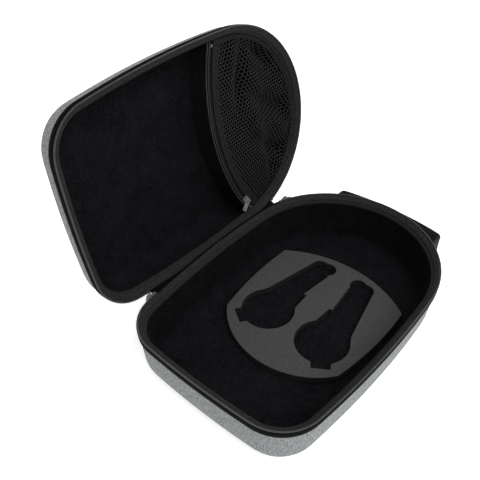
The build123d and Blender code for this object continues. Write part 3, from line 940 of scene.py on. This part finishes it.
def build_pocket():
    face = POCKET_PLANE + 0.35 * MM
    # (name, near and far edge off the chain in mm, rise of the crown, material, slot, node)
    flat = (
        ("tape_inner", -3.15, -0.1, 0.1, POCKET_TAPE, "black_tape", "pocket_tape_net_side"),
        ("tape_outer", 0.1, 5.55, 0.1, POCKET_TAPE, "black_tape", "pocket_tape_lid_side"),
        ("border", -12.4, -3.2, 0.35, HEM, "rim_binding", "pocket_net_border"),
    )
    for name, near, far, crown, material, slot, node in flat:
        edges = (POCKET_RADIUS + near * MM, POCKET_RADIUS + far * MM)
        strip = pocket_strip(f"pocket_{name}", *edges, face, 0.65 * MM, crown)
        dress(strip, material, "lid", slot, node)
    for name, near in (("outer", 4.2), ("inner", 1.25)):
        edges = (POCKET_RADIUS + near * MM, POCKET_RADIUS + (near + 1.3) * MM)
        cord = pocket_strip(f"pocket_piping_{name}", *edges, face + 0.5 * MM, 0.6 * MM, 0.45)
        dress(cord, PIPING, "lid", "rim_binding")

    count = 120
    for k, radius in enumerate((POCKET_RADIUS - 4.6 * MM, POCKET_RADIUS - 6.6 * MM)):
        xy = pocket_xy(radius, np.linspace(*pocket_ends(radius), count))
        line = at_height(np.transpose(xy), face + 0.12 * MM)
        out = np.tile([0.0, 0.0, 1.0], (count, 1))
        stitch_row(f"pocket_stitches_{k}", line, out, "lid", "black_tape", 2.0)

    build_pocket_coil(face)
    build_gusset(POCKET_RADIUS + 4.9 * MM, POCKET_RADIUS + 5.5 * MM, face - 0.8 * MM)
    build_net(POCKET_RADIUS - 11.6 * MM, face - 0.6 * MM)


def build_pocket_coil(face):
    """Two meshing rows of turns, half a pitch apart."""
    ends = [math.asin((y - POCKET_Y) / POCKET_RADIUS) for y in (-POCKET_COIL_Y, POCKET_COIL_Y)]
    s = np.arange(*(a * POCKET_RADIUS for a in ends), POCKET_COIL_PITCH / 9)
    angle = s / POCKET_RADIUS
    for side, name in ((-1, "inner"), (1, "outer")):
        phase = 2 * math.pi * s / POCKET_COIL_PITCH + (0 if side > 0 else math.pi)
        radius = POCKET_RADIUS + side * (0.52 + 0.30 * np.cos(phase)) * MM
        z = face + (0.62 + 0.34 * np.sin(phase)) * MM
        spread = -side * np.cos(phase)
        away = np.column_stack([spread * np.cos(angle), -spread * np.sin(angle), np.sin(phase)])
        path = np.column_stack([*pocket_xy(radius, angle), z])
        verts, faces = tube_data(path, away, 0.22 * MM, 5)
        coil = make_object(f"pocket_coil_{name}", place(verts, "lid"), faces)
        dress(coil, POCKET_COIL, "lid", "zipper_coil", "pocket_zipper_coil")


def lining_height(inset):
    """z of the lid's lining surface at an inset, in the rim frame."""
    profile = bowl_profile(8.3 * MM, DEPTH["lid"] - 7.2 * MM, DRAFT["lid"], INNER_RADIUS["lid"], 0)
    return float(np.interp(inset, *zip(*profile)))


def build_gusset(near, far, top):
    """The side wall of the pocket: cloth from the zipper down to the lid's lining."""
    start, end = pocket_ends(far)
    clear = 0.012      # radians left free at each end
    angle = np.linspace(start + clear, end - clear, 90)
    bottoms = np.array([lining_height(inset_of(*pocket_xy(far, a))) for a in angle])
    bottoms = np.minimum(bottoms, top - 0.4 * MM)
    shares = np.linspace(0, 1, 9)
    rows = []
    for face_radius, order in ((far, shares), (near, shares[::-1])):
        for share in order:
            sag = math.sin(math.pi * share) * (0.7 + 0.3 * np.sin(angle * 17))
            radius = face_radius - 0.9 * MM * sag
            z = top + (bottoms - top) * share
            rows.append(np.column_stack([*pocket_xy(radius, angle), z]))
    section_length = 0.06
    u, v = np.meshgrid(angle * far, np.linspace(0, section_length, len(rows) + 1))
    wall = grid_object("pocket_side_wall", place(np.array(rows), "lid"), u, v, True, False)
    dress(wall, PLUSH, "lid", "plush_lining", "pocket_gusset")


NET_MARGIN = 12.0 * MM       # inset where the holes of the net stop
NET_PITCH = 4.2 * MM
HOLE_SHARE = 0.82            # how much of each cell its hole takes
FOLD_LENGTH = 0.030
FOLD_FADE = 11 * MM          # the folds die out over this distance from the net's edge


def net_sag(x, y):
    """Folds of the loose net: height off its plane, in metres, positive out of the lid."""
    # (centre x and y in metres, lean in radians, half width in metres, height in mm)
    folds = (
        (0.110, -0.073, -0.56, 0.0095, -12.5),
        (0.122, -0.004, -1.01, 0.0090, -11.5),
        (0.117, 0.048, -0.98, 0.0080, -10.5),
        (0.105, 0.072, 0.10, 0.0060, -4.5),
        (0.076, -0.050, 0.30, 0.0070, -7.5),
        (0.090, 0.010, -0.28, 0.0100, 4.0),
        (0.066, -0.076, 0.35, 0.0075, 3.0),
        (0.140, -0.052, -0.75, 0.0090, 4.0),
        (0.128, 0.024, -1.00, 0.0070, 4.0),
        (0.098, -0.036, -0.60, 0.0080, 3.0),
    )
    total = 0.0
    for cx, cy, lean, width, height in folds:
        across = (x - cx) * math.cos(lean) + (y - cy) * math.sin(lean)
        along = -(x - cx) * math.sin(lean) + (y - cy) * math.cos(lean)
        total += height * MM * math.exp(-((across / width) ** 2) - (along / FOLD_LENGTH) ** 2)
    from_arc = POCKET_RADIUS - 13 * MM - math.hypot(x - POCKET_X, y - POCKET_Y)
    edge = min(inset_of(x, y) - NET_MARGIN, from_arc)
    fade = min(1.0, max(0.0, edge / FOLD_FADE))
    return total * fade * fade * (3 - 2 * fade) - 1.0 * MM * fade


def build_net(arc_edge, plane):
    """The net, one six-sided ring of yarn for each hole, and the hem that holds its edge."""
    row_step = NET_PITCH * math.sqrt(3) / 2
    corner = NET_PITCH / math.sqrt(3)
    verts, faces, index = [], [], {}

    def vertex(x, y):
        # Neighbouring rings share their corners
        key = (round(x * 1e6), round(y * 1e6))
        if key not in index:
            index[key] = len(verts)
            verts.append((x, y, plane + net_sag(x, y)))
        return index[key]

    for row in range(-30, 31):
        for column in range(-5, 45):
            x = 0.03 + (column + 0.5 * (row % 2)) * NET_PITCH
            y = row * row_step
            inside_rim = inset_of(x, y) > NET_MARGIN
            inside_arc = math.hypot(x - POCKET_X, y - POCKET_Y) < arc_edge + 0.5 * MM
            if not (inside_rim and inside_arc):
                continue
            outer, inner = [], []
            for k in range(6):
                a = math.pi / 6 + k * math.pi / 3
                ox, oy = x + corner * math.cos(a), y + corner * math.sin(a)
                outer.append(vertex(ox, oy))
                inner.append(vertex(x + (ox - x) * HOLE_SHARE, y + (oy - y) * HOLE_SHARE))
            for k in range(6):
                m = (k + 1) % 6
                faces.append([outer[k], outer[m], inner[m], inner[k]])
    verts = place(np.array(verts), "lid")
    net = make_object("pocket_net_mesh", verts, faces, None, 80)
    add_modifier(net, "SUBSURF", levels=1, render_levels=1)
    add_modifier(net, "SOLIDIFY", thickness=0.4 * MM, offset=0.0)
    layer = net.data.uv_layers.new(name="UVMap")
    for loop in net.data.loops:
        co = net.data.vertices[loop.vertex_index].co
        layer.data[loop.index].uv = (co.x, co.z)
    dress(net, NET, "lid", "net", "pocket_net")

    # The hem follows the rim as far as it lies within the pocket's arc
    tried = np.arange(-0.19, 0.19, 1.0 * MM)
    to_centre = Track(tried).ring(POCKET_REACH) - (POCKET_X, POCKET_Y)
    within = tried[np.hypot(*to_centre.T) < arc_edge + 6.0 * MM]
    track = Track(np.linspace(within.min(), within.max(), 190))
    top = plane + 0.55 * MM
    section = [
        (9.8, 0.0), (10.0, 0.25), (11.2, 0.35), (12.6, 0.30), (13.6, 0.10), (13.9, -0.15),
        (13.7, -0.5), (11.6, -0.55), (9.8, -0.5),
    ]
    section = [(inset * MM, top + z * MM) for inset, z in section]
    hem = sweep("pocket_net_hem", track, section, "lid", False, 60)
    dress(hem, HEM, "lid", "rim_binding")


# ---------------- insert, sliders, stops

def build_insert():
    """The CAD's plate, with its flat faces made whole and its edges rounded."""
    mesh = frame["nodes"]["foam_insert"].data.copy()
    work = bmesh.new()
    work.from_mesh(mesh)
    bmesh.ops.remove_doubles(work, verts=work.verts, dist=MERGE_WITHIN)
    bmesh.ops.dissolve_limit(work, angle_limit=0.02, verts=work.verts, edges=work.edges)
    work.to_mesh(mesh)
    work.free()
    insert = new_object("insert_foam_plate", mesh)
    round_edges(insert, 0.7 * MM, 3, 50)
    for polygon in mesh.polygons:
        polygon.use_smooth = False
    dress(insert, FOAM, "insert", "insert_foam", "foam_insert")


def build_small_parts():
    """Sliders, pulls and stops keep the CAD's shape, with their edges rounded."""
    for node, obj in frame["nodes"].items():
        if "slider" in node:
            material, rounding = (RUBBER if node.endswith("pull") else METAL), 0.22 * MM
        elif "zipper_stop" in node:
            material, rounding = COIL, 0.2 * MM
        else:
            continue
        paint(obj, material)
        round_edges(obj, rounding, 2, 40)


for half_name in ("base", "lid"):
    build_walls(half_name)
    build_binding(half_name)
    build_zipper(half_name)
build_hinge_cloth()
build_strap()
build_patch("handle_patch_front", -1)
build_patch("handle_patch_back", 1)
build_pocket()
build_insert()
build_small_parts()


# ---------------- floor, light and camera

AIM = Vector((0.0, 0.02, 0.08))      # what the lamps point at
LAMPS = (
    # (name, place, size in metres, power in watts)
    ("key", (-0.45, -1.15, 1.75), 1.2, 24),
    ("fill", (1.3, -0.9, 1.2), 1.4, 8),
    ("top", (0.1, 0.5, 1.9), 1.4, 12),
)
ROOM_LIGHT = 0.30
FLOOR_REACH = 6.0
FLOOR_GLOW = 0.62

# The camera that puts both rim outlines where the picture has them
CAMERA_PLACE = (-0.3815, -0.2398, 0.5097)
CAMERA_AZIMUTH = math.radians(-49.48)
CAMERA_ELEVATION = math.radians(41.0)
CAMERA_LENS = 47.06


def aimed_object(name, data, location, direction):
    """A lamp or the camera, looking in a direction and held upright."""
    obj = new_object(name, data)
    obj.location = location
    obj.rotation_mode = "QUATERNION"
    obj.rotation_quaternion = direction.to_track_quat("-Z", "Y")
    return obj


def build_floor():
    mesh = bpy.data.meshes.new("floor")
    corners = ((-1, -1), (1, -1), (1, 1), (-1, 1))
    mesh.from_pydata([(x * FLOOR_REACH, y * FLOOR_REACH, 0) for x, y in corners], [], [range(4)])
    sh = Shader("pale_floor", roughness=0.9)
    sh.colour(rgba(0.86))
    sh.feed(sh.bsdf, {"Emission Color": rgba(1), "Emission Strength": FLOOR_GLOW})
    mesh.materials.append(sh.material)
    floor = new_object("floor", mesh)
    floor.location.z = -0.2 * MM


def build_light():
    world = bpy.data.worlds.new("studio")
    world.use_nodes = True
    nodes, links = world.node_tree.nodes, world.node_tree.links
    background = nodes["Background"]
    background.inputs["Color"].default_value = rgba(1)
    # Seen directly the room is white; as a light it is much weaker
    path = nodes.new("ShaderNodeLightPath")
    strength = nodes.new("ShaderNodeMapRange")
    strength.inputs["To Min"].default_value = ROOM_LIGHT
    strength.inputs["To Max"].default_value = 1.0
    links.new(path.outputs["Is Camera Ray"], strength.inputs["Value"])
    links.new(strength.outputs["Result"], background.inputs["Strength"])
    bpy.context.scene.world = world
    for name, spot, size, power in LAMPS:
        light = bpy.data.lights.new(name, "AREA")
        light.energy, light.size = power, size
        aimed_object(name, light, spot, AIM - Vector(spot))


def build_camera():
    ahead = Vector((
        -math.sin(CAMERA_AZIMUTH) * math.cos(CAMERA_ELEVATION),
        math.cos(CAMERA_AZIMUTH) * math.cos(CAMERA_ELEVATION),
        -math.sin(CAMERA_ELEVATION),
    ))
    data = bpy.data.cameras.new("camera")
    data.lens = CAMERA_LENS
    data.clip_start = 0.01
    bpy.context.scene.camera = aimed_object("camera", data, CAMERA_PLACE, ahead)


build_floor()
build_light()
build_camera()
bpy.context.scene.view_settings.view_transform = "Standard"

bpy.context.view_layer.update()
